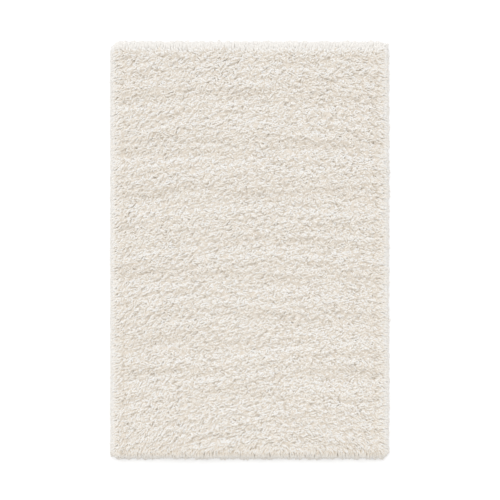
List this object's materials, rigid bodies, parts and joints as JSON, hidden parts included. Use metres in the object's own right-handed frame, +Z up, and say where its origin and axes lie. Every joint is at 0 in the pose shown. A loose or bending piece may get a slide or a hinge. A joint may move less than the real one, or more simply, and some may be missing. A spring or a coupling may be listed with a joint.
{
  "type": "shag rug",
  "caption": "Rectangular shag rug with a deep off-white pile over a woven backing, lying flat with its pile spilling past all four edges.",
  "frame": {"origin": "on the floor, under the middle of the rug", "axes": "+Z up out of the pile, +Y along the rug towards the top of the picture, +X across the rug towards the right of the picture"},
  "size_m": [1.2, 1.7998, 0.042],
  "materials": {
    "pile_yarn": "matt off-white yarn in a deep cut pile",
    "woven_backing": "plain woven natural backing cloth"
  },
  "bodies": {
    "root": {"rug": "pile_yarn"}
  },
  "joints": []
}
